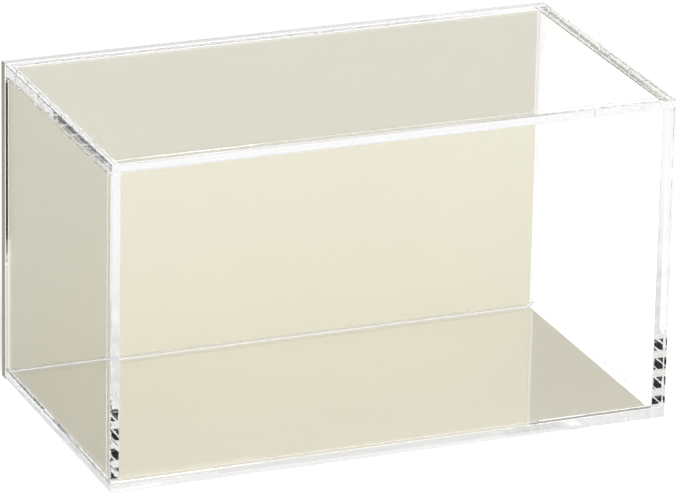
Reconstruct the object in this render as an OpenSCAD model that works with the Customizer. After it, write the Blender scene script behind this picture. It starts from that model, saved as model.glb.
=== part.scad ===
// Clear acrylic display case.
// Five cemented sheets make a box that is open at the rear.
// A loose clear back closes it, and pulls straight off to the rear.
// A warm-white sheet lines the back, and an ivory sheet shows through the base plate as the floor.
// The origin is the centre of the underside. The front faces -Y and +Z is up.

/* [Case] */
// Outside width of the case, left to right
case_w = 250; // [120:1:400]
// Outside depth of the case, front to back
case_d = 138; // [80:1:300]
// Outside height of the case, from the table to the top face
case_h = 143; // [80:1:300]

/* [Sheets] */
// Thickness of the clear front sheet
front_t = 5; // [3:0.5:10]
// Thickness of the clear sheets at the sides
side_t = 5; // [3:0.5:10]
// Thickness of the clear top sheet
top_t = 5; // [3:0.5:10]
// Thickness of the clear back sheet
back_t = 5; // [3:0.5:10]
// Thickness of the clear base plate
base_t = 4.5; // [3:0.5:10]
// Width of the small flat that breaks every polished edge
arris = 0.25; // [0.1:0.05:0.8]

/* [Back lining] */
// Thickness of the warm-white sheet that lines the clear back
lining_t = 0.8; // [0.4:0.1:3]
// Clearance from the lining to the side walls and to the top
lining_fit = 0.4; // [0.2:0.1:2]

/* [Floor sheet] */
// Thickness of the ivory sheet under the base plate
floor_t = 0.4; // [0.4:0.1:3]
// Clear margin of the base plate to the left and right of the ivory sheet
floor_side_margin = 5.5; // [1:0.5:15]
// Clear margin of the base plate in front of the ivory sheet
floor_front_margin = 8; // [1:0.5:15]
// Clear margin of the base plate behind the ivory sheet
floor_back_margin = 0.5; // [0.5:0.5:15]

/* [Fits] */
// Thickness of the cement film between bonded pieces
cement_film = 0.1; // [0.05:0.05:0.2]
// Gap from the loose back to the box, and from its lining to the base plate
back_gap = 0.2; // [0.1:0.05:0.5]

/* [Hidden] */
half_w = case_w / 2;
half_d = case_d / 2;

// Underside and top of the base plate
base_low_z = floor_t + cement_film;
base_top_z = base_low_z + base_t;

// Inner faces of the case, and the rear of the box
front_face_y = -half_d + front_t;
back_face_y = half_d - back_t;
side_face_x = half_w - side_t;
top_face_z = case_h - top_t;
box_rear_y = back_face_y - back_gap;
lining_back_y = back_face_y - cement_film;
lining_face_y = lining_back_y - lining_t;

// Bottoms and tops of the cemented walls, and of the lining
wall_low_z = base_top_z + cement_film;
wall_top_z = top_face_z - cement_film;
lining_low_z = base_top_z + back_gap;
lining_top_z = top_face_z - lining_fit;

clear_tint = [0.86, 0.93, 0.95, 0.3];
warm_white = [0.92, 0.90, 0.84];
ivory = [0.84, 0.81, 0.72];

// Rectangle from the origin with its corners cut by the arris
module arris_rectangle(a, b) {
    polygon([
        [arris, 0], [a - arris, 0], [a, arris], [a, b - arris],
        [a - arris, b], [arris, b], [0, b - arris], [0, arris]
    ]);
}

// Sheet of the given size from the given low corner, with an arris on all twelve edges
module polished_sheet(low, size) {
    translate(low)
        intersection() {
            linear_extrude(size.z) arris_rectangle(size.x, size.y);
            translate([0, size.y, 0])
                rotate([90, 0, 0])
                    linear_extrude(size.y) arris_rectangle(size.x, size.z);
            rotate([90, 0, 90])
                linear_extrude(size.x) arris_rectangle(size.y, size.z);
        }
}

module floor_sheet() {
    floor_w = case_w - 2 * floor_side_margin;
    floor_d = box_rear_y + half_d - floor_front_margin - floor_back_margin;
    color(ivory)
        translate([-floor_w / 2, floor_front_margin - half_d, 0])
            cube([floor_w, floor_d, floor_t]);
}

module base_plate() {
    color(clear_tint)
        polished_sheet([-half_w, -half_d, base_low_z], [case_w, box_rear_y + half_d, base_t]);
}

module front_panel() {
    color(clear_tint)
        polished_sheet([-half_w, -half_d, wall_low_z], [case_w, front_t, case_h - wall_low_z]);
}

module side_panel(low_x) {
    low_y = front_face_y + cement_film;
    color(clear_tint)
        polished_sheet([low_x, low_y, wall_low_z], [side_t, box_rear_y - low_y, wall_top_z - wall_low_z]);
}

module left_panel() {
    side_panel(-half_w);
}

module right_panel() {
    side_panel(side_face_x);
}

module top_panel() {
    low_y = front_face_y + cement_film;
    color(clear_tint)
        polished_sheet([-half_w, low_y, top_face_z], [case_w, box_rear_y - low_y, top_t]);
}

module back_panel() {
    color(clear_tint)
        polished_sheet([-half_w, back_face_y, 0], [case_w, back_t, case_h]);
}

module back_lining() {
    half_lining = side_face_x - lining_fit;
    color(warm_white)
        translate([-half_lining, lining_face_y, lining_low_z])
            cube([2 * half_lining, lining_t, lining_top_z - lining_low_z]);
}

floor_sheet();
base_plate();
front_panel();
left_panel();
right_panel();
top_panel();
back_panel();
back_lining();
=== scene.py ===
from math import cos, radians, sin

import bpy
from bpy.props import FloatProperty, FloatVectorProperty, PointerProperty
from mathutils import Matrix, Vector


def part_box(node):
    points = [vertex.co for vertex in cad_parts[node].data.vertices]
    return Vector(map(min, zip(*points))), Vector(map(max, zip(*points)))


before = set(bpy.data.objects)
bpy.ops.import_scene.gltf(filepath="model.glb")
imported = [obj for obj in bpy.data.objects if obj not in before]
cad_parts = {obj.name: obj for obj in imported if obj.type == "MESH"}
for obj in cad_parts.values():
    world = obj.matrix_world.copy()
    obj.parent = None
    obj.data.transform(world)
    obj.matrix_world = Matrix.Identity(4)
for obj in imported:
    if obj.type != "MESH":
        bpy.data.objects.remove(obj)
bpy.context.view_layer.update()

bl_info = {
    "name": "Acrylic display case",
    "version": (1, 0, 0),
    "blender": (4, 5, 0),
    "location": "3D View > Sidebar > Display case",
    "description": "Dresses a clear display case with a loose back and sets it on a studio floor",
    "category": "Object",
}

MM = 0.001

# The photograph's width in pixels, the sensor that the lens is written for in millimetres, and how
# far the camera sees in metres
PHOTO_W = 679
SENSOR_W = 36.0
SIGHT = 100.0

# The clear sheets of the box, with the axis that each is thin along
BOX_SHEETS = {
    "base_plate": "Z", "front_panel": "Y", "left_panel": "X", "right_panel": "X", "top_panel": "Z",
}
# The sheets that are cemented without a visible joint
CEMENTED = (
    ("front_panel", "left_panel"), ("front_panel", "right_panel"), ("front_panel", "top_panel"),
    ("left_panel", "top_panel"), ("right_panel", "top_panel"), ("left_panel", "base_plate"),
    ("right_panel", "base_plate"),
)
# Width of the flat on every edge, and how far past a cement film its faces are looked for
ARRIS = 0.25 * MM
FILM_REACH = 0.03 * MM
# A film is ragged along the axes where half its size is more than this
RAGGED_FROM = 1 * MM
# How far a face's normal lies along an axis: less on an edge, more on an end
EDGE_BELOW = 0.5
END_ABOVE = 0.9

# Noise on the clear sheets, as scale and detail: wiping marks, mottled edges, patches of cement
SMEAR = (30.0, 4.0)
MOTTLE = (420.0, 3.0)
PATCHES = (160.0, 2.0)
PATCH_LEVEL = 0.45
EDGE_BUMP = 0.04
EDGE_BUMP_DEPTH = 0.2 * MM
SAWN_ROUGHNESS = 0.8
# What is left of lamp light and soft light behind a face
PASSING = (0.97, 0.975, 0.975, 1)

# Cloudiness of the opaque sheets, with the shade that it reaches and the roughness that it adds
LINING_CLOUD = (9.0, 4.0)
LINING_SHADE = 0.95
LINING_DULLING = 0.1
GRAIN = (1800.0, 2.0)
GRAIN_BUMP = 0.1
GRAIN_DEPTH = 0.05 * MM
FLOOR_CLOUD = (14.0, 4.0)
FLOOR_SHADE = 0.94
FLOOR_DULLING = 0.03
FLOOR_IOR = 1.5

# The studio's paper floor: its width in metres, its drop below the case, its colour, and the light
# that it adds where the camera sees it, with more of that straight through sheets
PAPER_W = 30.0
PAPER_DROP = 0.3 * MM
PAPER = (0.82, 0.82, 0.82, 1)
PAPER_LIFT = 0.35
THROUGH_LIFT = 0.5
# The key lamp: its place, aim and width in metres, and its power in watts
KEY_PLACE = (0.1, -0.75, 1.0)
KEY_AIM = (0, 0, 0.06)
KEY_W = 0.6
KEY_POWER = 8.8
# Bounces that light may take in the sheets
BOUNCES = 64

# Light of the studio on all sides, and what mirrored rays find of its sky and floor. The sky loses
# a little for those mirrored more than once. The floor is dim for them, dark in front of the case,
# and lit to the right of a soft slanting line. Far in front it is lit for those that have passed
# more faces than the two of one sheet.
SOFT_LIGHT = 0.65
GUIDED_LOSS = 0.05
MIRRORED_SKY = 0.3
MIRRORED_FLOOR = 0.08
DARK = 0.02
DARK_FROM_Y = -100 * MM
FAR_Y = -314 * MM
FAR_LIT = 0.8
SHEET_FACES = 2
LIT_FROM_X = 125 * MM
LIT_SLANT = 2.45
LIT_BLUR = 60 * MM
# Faces that a ray crosses at two cemented joints
JOINT_FACES = 4
# Whole counts are told apart half a step away
HALF = 0.5


class CLEAR_PG_settings(bpy.types.PropertyGroup):
    """Finish of the clear sheets."""

    tint: FloatVectorProperty(
        name="Tint", description="Colour of light that passes through a face",
        subtype="COLOR", size=3, min=0, max=1, default=(0.99, 0.99, 0.99))
    ior: FloatProperty(
        name="Index of refraction", description="How strongly the sheet bends light",
        min=1.3, max=1.7, default=1.49)
    face_haze: FloatProperty(
        name="Face haze", description="Roughness of the wiped faces",
        subtype="FACTOR", min=0, max=0.2, default=0.004)
    edge_haze: FloatProperty(
        name="Edge haze", description="Roughness of the polished and cemented edges",
        subtype="FACTOR", min=0, max=0.4, default=0.05)
    cement_edge: FloatProperty(
        name="Cement edge", description="How unevenly the cement runs to the edges of a joint",
        unit="LENGTH", min=0, max=10 * MM, default=3 * MM)
    # The ends' colour is painted shade: darker than the clear sheet, it stands for the lining in
    # shade seen through the ends.
    painted_end_shade: FloatVectorProperty(
        name="Painted end shade", description="Colour of the matte left and right ends of the back",
        subtype="COLOR", size=3, min=0, max=1, default=(0.49, 0.475, 0.35))


class LINING_PG_settings(bpy.types.PropertyGroup):
    """Finish of the opaque lining of the back."""

    colour: FloatVectorProperty(
        name="Colour", description="Colour of the opaque sheet",
        subtype="COLOR", size=3, min=0, max=1, default=(0.905, 0.87, 0.735))
    sheen: FloatProperty(
        name="Roughness", description="Roughness of the satin surface",
        subtype="FACTOR", min=0.1, max=0.9, default=0.45)


class FLOOR_PG_settings(bpy.types.PropertyGroup):
    """Finish of the floor sheet."""

    colour: FloatVectorProperty(
        name="Colour", description="Colour of the ivory sheet",
        subtype="COLOR", size=3, min=0, max=1, default=(0.835, 0.785, 0.65))
    gloss: FloatProperty(
        name="Roughness", description="Roughness of the glossy surface",
        subtype="FACTOR", min=0, max=0.5, default=0.03)


class STAGE_PG_settings(bpy.types.PropertyGroup):
    """Camera and studio."""

    azimuth: FloatProperty(
        name="Azimuth", description="Turn of the camera round the case", subtype="ANGLE",
        unit="ROTATION", default=radians(-22.314))
    elevation: FloatProperty(
        name="Elevation", description="Height of the camera above the horizon", subtype="ANGLE",
        unit="ROTATION", default=radians(20.604))
    roll: FloatProperty(
        name="Roll", description="Turn of the camera about its own line of sight", subtype="ANGLE",
        unit="ROTATION", default=radians(1.165))
    distance: FloatProperty(
        name="Distance", description="From the camera to the point it looks at", unit="LENGTH",
        default=2408.1 * MM)
    focal_px: FloatProperty(
        name="Focal length in pixels", description="Focal length in pixels of the photograph",
        default=5684.5)
    target: FloatVectorProperty(
        name="Target", description="Point that the camera looks at", subtype="XYZ", unit="LENGTH",
        size=3, default=(2.517 * MM, 0.0, 68.014 * MM))


class Value:
    """Wraps an output of a node, so that shader maths reads as Python expressions."""

    def __init__(self, tree, socket=None):
        self.tree = tree
        self.socket = socket

    def node(self, kind, settings=None, values=None, out=0):
        """Adds a node: first its settings, then the values or links of its inputs."""
        made = self.tree.nodes.new(kind)
        for name, setting in (settings or {}).items():
            setattr(made, name, setting)
        for key, value in (values or {}).items():
            if isinstance(value, Value):
                self.tree.links.new(value.socket, made.inputs[key])
            else:
                made.inputs[key].default_value = value
        return Value(self.tree, made.outputs[out] if len(made.outputs) else None)

    def math(self, operation, first, second=0.0):
        return self.node("ShaderNodeMath", {"operation": operation}, {0: first, 1: second})

    def __add__(self, other):
        return self.math("ADD", self, other)

    __radd__ = __add__

    def __sub__(self, other):
        return self.math("SUBTRACT", self, other)

    def __rsub__(self, other):
        return self.math("SUBTRACT", other, self)

    def __mul__(self, other):
        return self.math("MULTIPLY", self, other)

    __rmul__ = __mul__

    def __lt__(self, other):
        return self.math("LESS_THAN", self, other)

    def __gt__(self, other):
        return self.math("GREATER_THAN", self, other)

    def __abs__(self):
        return self.math("ABSOLUTE", self)


def new_material(name):
    """A material with an empty node tree, and the wrapper that adds nodes to it."""
    material = bpy.data.materials.new(name)
    material.use_nodes = True
    material.node_tree.nodes.clear()
    return material, Value(material.node_tree)


def noise(tree, place, scale, detail):
    """Noise that is fixed to the piece."""
    return tree.node(
        "ShaderNodeTexNoise", values={"Vector": place, "Scale": scale, "Detail": detail})


def clouded(tree, cloud, colour, shade):
    """A colour that noise takes part of the way to a darker shade."""
    deep = (*(shade * channel for channel in colour), 1)
    return tree.node(
        "ShaderNodeMix", {"data_type": "RGBA"}, {0: cloud, 6: (*colour, 1), 7: deep}, out=2)


def dress(node, material):
    """Gives a CAD node its one material."""
    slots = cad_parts[node].data.materials
    slots.clear()
    slots.append(material)


def cement_film(first, second):
    """Centre and half size of the cement film between two neighbouring sheets, in metres."""
    boxes = [[Vector(corner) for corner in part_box(node)] for node in (first, second)]
    centre, half = Vector(), Vector()
    for axis in range(3):
        low = max(box[0][axis] for box in boxes)
        high = min(box[1][axis] for box in boxes)
        centre[axis] = (low + high) / 2
        half[axis] = (high - low) / 2 - ARRIS if high > low else (low - high) / 2 + FILM_REACH
    return centre, half


def cemented(tree, spot, ragged, node):
    """1 on the faces of a sheet that cement joins to its neighbours, where no joint shows."""
    mask = 0.0
    for pair in CEMENTED:
        if node in pair:
            centre, half = cement_film(*pair)
            inside = [
                tree.node("ShaderNodeMath", {"operation": "COMPARE"}, {
                    0: at, 1: middle, 2: reach - ragged if reach > RAGGED_FROM else reach})
                for at, middle, reach in zip(spot, centre, half)]
            mask = tree.math("MAXIMUM", inside[0] * inside[1] * inside[2], mask)
    return mask


def clear_acrylic(node, thin_axis, settings, shaded_end_axis=None):
    """Polished clear sheet that is thin along one axis and may have matte ends along another,
    whose darker colour is painted shade.
    """
    material, tree = new_material(node.replace("_", " "))
    place = tree.node("ShaderNodeTexCoord", out="Object")
    normal = tree.node("ShaderNodeTexCoord", out="Normal")
    spot = [tree.node("ShaderNodeSeparateXYZ", values={0: place}, out=axis) for axis in "XYZ"]
    across = tree.node("ShaderNodeSeparateXYZ", values={0: normal}, out=thin_axis)
    edge = abs(across) < EDGE_BELOW
    mottle = noise(tree, place, *MOTTLE)
    roughness = (
        settings.face_haze * noise(tree, place, *SMEAR) + settings.edge_haze * edge * mottle)
    patches = noise(tree, place, *PATCHES)
    ragged = tree.math("MAXIMUM", (patches - PATCH_LEVEL) * settings.cement_edge, 0.0)
    bump = tree.node("ShaderNodeBump", values={
        "Strength": EDGE_BUMP, "Distance": EDGE_BUMP_DEPTH, "Height": edge * mottle})
    sheet = tree.node("ShaderNodeBsdfPrincipled", values={
        "Base Color": (*settings.tint, 1), "Roughness": roughness, "IOR": settings.ior,
        "Transmission Weight": 1.0, "Normal": bump})
    # Matte ends along this axis, in a darker colour that is painted shade of the lining seen
    # through them.
    if shaded_end_axis:
        along = tree.node("ShaderNodeSeparateXYZ", values={0: normal}, out=shaded_end_axis)
        inside = tree.node("ShaderNodeNewGeometry", out="Backfacing")
        matte_shaded_end = tree.node("ShaderNodeBsdfPrincipled", values={
            "Base Color": (*settings.painted_end_shade, 1), "Roughness": SAWN_ROUGHNESS})
        sheet = tree.node("ShaderNodeMixShader", values={
            0: (abs(along) > END_ABOVE) * (1.0 - inside), 1: sheet, 2: matte_shaded_end})
    joined = tree.node("ShaderNodeBsdfTransparent", values={"Color": (1, 1, 1, 1)})
    surface = tree.node(
        "ShaderNodeMixShader", values={0: cemented(tree, spot, ragged, node), 1: sheet, 2: joined})
    lamp_ray = tree.node("ShaderNodeLightPath", out="Is Shadow Ray")
    soft_ray = tree.node("ShaderNodeLightPath", out="Is Diffuse Ray")
    passing = tree.node("ShaderNodeBsdfTransparent", values={"Color": PASSING})
    surface = tree.node("ShaderNodeMixShader", values={0: soft_ray, 1: surface, 2: passing})
    surface = tree.node("ShaderNodeMixShader", values={0: lamp_ray, 1: surface, 2: passing})
    tree.node("ShaderNodeOutputMaterial", values={"Surface": surface})
    return material


def satin_lining(settings):
    """Satin warm-white sheet with a faint cloudiness and a fine grain."""
    material, tree = new_material("satin warm white")
    place = tree.node("ShaderNodeTexCoord", out="Object")
    cloud = noise(tree, place, *LINING_CLOUD)
    bump = tree.node("ShaderNodeBump", values={
        "Strength": GRAIN_BUMP, "Distance": GRAIN_DEPTH, "Height": noise(tree, place, *GRAIN)})
    sheet = tree.node("ShaderNodeBsdfPrincipled", values={
        "Base Color": clouded(tree, cloud, settings.colour, LINING_SHADE),
        "Roughness": settings.sheen + LINING_DULLING * cloud, "Normal": bump})
    tree.node("ShaderNodeOutputMaterial", values={"Surface": sheet})
    return material


def glossy_floor(settings):
    """Glossy ivory sheet with a faint cloudiness."""
    material, tree = new_material("glossy ivory")
    place = tree.node("ShaderNodeTexCoord", out="Object")
    cloud = noise(tree, place, *FLOOR_CLOUD)
    sheet = tree.node("ShaderNodeBsdfPrincipled", values={
        "Base Color": clouded(tree, cloud, settings.colour, FLOOR_SHADE),
        "Roughness": settings.gloss + FLOOR_DULLING * cloud, "IOR": FLOOR_IOR})
    tree.node("ShaderNodeOutputMaterial", values={"Surface": sheet})
    return material


def ray_kinds(tree):
    """Flags of a ray: seen in any way, straight through sheets, mirrored, mirrored once."""
    kinds = ("Is Camera Ray", "Is Glossy Ray", "Is Transmission Ray", "Glossy Depth")
    camera, glossy, clear, bounces = (tree.node("ShaderNodeLightPath", out=kind) for kind in kinds)
    seen = tree.math("MAXIMUM", tree.math("MAXIMUM", camera, glossy), clear)
    mirrored = bounces > HALF
    return seen, clear * (bounces < HALF), mirrored, mirrored * (bounces < 1 + HALF)


class CASE_OT_clear_box(bpy.types.Operator):
    """Gives the clear sheets of the box their finish"""

    bl_idname = "display_case.clear_box"
    bl_label = "Clear box"

    def execute(self, context):
        for node, thin_axis in BOX_SHEETS.items():
            dress(node, clear_acrylic(node, thin_axis, context.scene.case_clear))
        return {"FINISHED"}


class CASE_OT_clear_back(bpy.types.Operator):
    """Gives the loose back its finish"""

    bl_idname = "display_case.clear_back"
    bl_label = "Clear back"

    def execute(self, context):
        dress("back_panel", clear_acrylic("back_panel", "Y", context.scene.case_clear, "X"))
        return {"FINISHED"}


class CASE_OT_back_lining(bpy.types.Operator):
    """Gives the opaque lining of the back its finish"""

    bl_idname = "display_case.back_lining"
    bl_label = "Back lining"

    def execute(self, context):
        dress("back_lining", satin_lining(context.scene.case_lining))
        return {"FINISHED"}


class CASE_OT_floor_sheet(bpy.types.Operator):
    """Gives the floor sheet its finish"""

    bl_idname = "display_case.floor_sheet"
    bl_label = "Floor sheet"

    def execute(self, context):
        dress("floor_sheet", glossy_floor(context.scene.case_floor))
        return {"FINISHED"}


def studio_floor():
    """A wide pale floor that stays white to the eye and still takes the shadow."""
    bpy.ops.mesh.primitive_plane_add(size=PAPER_W, location=(0, 0, -PAPER_DROP))
    plane = bpy.context.object
    plane.name = "studio_floor"
    material, tree = new_material("studio paper")
    seen, through, mirrored, once = ray_kinds(tree)
    place = tree.node("ShaderNodeTexCoord", out="Object")
    x, y = (tree.node("ShaderNodeSeparateXYZ", values={0: place}, out=axis) for axis in "XY")
    faces = tree.node("ShaderNodeLightPath", out="Transmission Depth")
    near = 1.0 - FAR_LIT * ((y < FAR_Y) * (faces > SHEET_FACES + HALF))
    beside = near * tree.node("ShaderNodeMapRange", values={
        0: y + LIT_SLANT * (x - LIT_FROM_X), 1: -LIT_BLUR, 2: LIT_BLUR, 3: 1.0, 4: 0.0})
    ahead = beside * (y < DARK_FROM_Y)
    paper = tree.node("ShaderNodeBsdfDiffuse", values={"Color": PAPER})
    lift = tree.node("ShaderNodeEmission", values={
        "Strength": PAPER_LIFT * seen + THROUGH_LIFT * through})
    lit = tree.node("ShaderNodeAddShader", values={0: paper, 1: lift})
    dim = tree.node("ShaderNodeEmission", values={
        "Strength": MIRRORED_FLOOR + (DARK - MIRRORED_FLOOR) * (ahead * once)})
    surface = tree.node("ShaderNodeMixShader", values={
        0: tree.math("MAXIMUM", once * beside, mirrored * ahead), 1: lit, 2: dim})
    tree.node("ShaderNodeOutputMaterial", values={"Surface": surface})
    plane.data.materials.append(material)


def studio_world(scene):
    """Soft light from all round, white to the eye."""
    world = bpy.data.worlds.new("studio")
    scene.world = world
    world.use_nodes = True
    world.node_tree.nodes.clear()
    tree = Value(world.node_tree)
    seen, through, mirrored, once = ray_kinds(tree)
    heading = tree.node("ShaderNodeTexCoord", out="Generated")
    rising = tree.node("ShaderNodeSeparateXYZ", values={0: heading}, out="Z") > 0.0
    faces = tree.node("ShaderNodeLightPath", out="Transparent Depth")
    joints = abs(faces - JOINT_FACES) < HALF
    guided = mirrored - once
    white = 1.0 + THROUGH_LIFT * through - GUIDED_LOSS * guided + (MIRRORED_SKY - 1.0) * once
    shown = white + (DARK - white) * (mirrored * rising * joints)
    strength = SOFT_LIGHT + (shown - SOFT_LIGHT) * seen
    light = tree.node("ShaderNodeBackground", values={"Color": (1, 1, 1, 1), "Strength": strength})
    tree.node("ShaderNodeOutputWorld", values={"Surface": light})


def softbox(name, place, aim, size, power):
    """A square lamp that faces a point."""
    lamp = bpy.data.lights.new(name, "AREA")
    lamp.size = size
    lamp.energy = power
    holder = bpy.data.objects.new(name, lamp)
    holder.location = place
    holder.rotation_euler = (Vector(aim) - Vector(place)).to_track_quat("-Z", "Y").to_euler()
    bpy.context.scene.collection.objects.link(holder)


def photo_camera(scene, settings):
    """The camera at the photograph's viewing angle."""
    azimuth, elevation, roll = settings.azimuth, settings.elevation, settings.roll
    forward = Vector(
        (-sin(azimuth) * cos(elevation), cos(azimuth) * cos(elevation), -sin(elevation)))
    level = forward.cross(Vector((0, 0, 1))).normalized()
    upright = level.cross(forward)
    right = level * cos(roll) + upright * sin(roll)
    up = upright * cos(roll) - level * sin(roll)
    turn = Matrix((right, up, -forward)).transposed().to_4x4()
    place = Vector(settings.target) - forward * settings.distance
    lens = bpy.data.cameras.new("photo_camera")
    lens.sensor_width = SENSOR_W
    lens.lens = SENSOR_W * settings.focal_px / PHOTO_W
    lens.clip_end = SIGHT
    camera = bpy.data.objects.new("photo_camera", lens)
    camera.matrix_world = Matrix.Translation(place) @ turn
    scene.collection.objects.link(camera)
    scene.camera = camera


class CASE_OT_stage(bpy.types.Operator):
    """Sets the case on a studio floor, with soft light and the photograph's camera"""

    bl_idname = "display_case.stage"
    bl_label = "Studio"

    def execute(self, context):
        scene = context.scene
        studio_floor()
        studio_world(scene)
        softbox("key", KEY_PLACE, KEY_AIM, KEY_W, KEY_POWER)
        photo_camera(scene, scene.case_stage)
        scene.view_settings.view_transform = "Standard"
        scene.cycles.max_bounces = BOUNCES
        scene.cycles.glossy_bounces = BOUNCES
        scene.cycles.transmission_bounces = BOUNCES
        scene.cycles.transparent_max_bounces = BOUNCES
        return {"FINISHED"}


OPERATORS = (
    CASE_OT_clear_box, CASE_OT_clear_back, CASE_OT_back_lining, CASE_OT_floor_sheet,
    CASE_OT_stage,
)
SETTINGS = {
    "case_clear": CLEAR_PG_settings,
    "case_lining": LINING_PG_settings,
    "case_floor": FLOOR_PG_settings,
    "case_stage": STAGE_PG_settings,
}


class CASE_PT_sidebar(bpy.types.Panel):
    """Lists the steps that dress the case"""

    bl_idname = "CASE_PT_sidebar"
    bl_label = "Display case"
    bl_space_type = "VIEW_3D"
    bl_region_type = "UI"
    bl_category = "Display case"

    def draw(self, context):
        for operator in OPERATORS:
            self.layout.operator(operator.bl_idname)
        for name in SETTINGS:
            group = getattr(context.scene, name)
            for prop in group.__annotations__:
                self.layout.prop(group, prop)


CLASSES = (*SETTINGS.values(), *OPERATORS, CASE_PT_sidebar)


def register():
    for made in CLASSES:
        bpy.utils.register_class(made)
    for name, group in SETTINGS.items():
        setattr(bpy.types.Scene, name, PointerProperty(type=group))


def unregister():
    for name in SETTINGS:
        delattr(bpy.types.Scene, name)
    for made in reversed(CLASSES):
        bpy.utils.unregister_class(made)


def main():
    register()
    bpy.ops.display_case.clear_box()
    bpy.ops.display_case.clear_back()
    bpy.ops.display_case.back_lining()
    bpy.ops.display_case.floor_sheet()
    bpy.ops.display_case.stage()


if __name__ == "__main__":
    main()
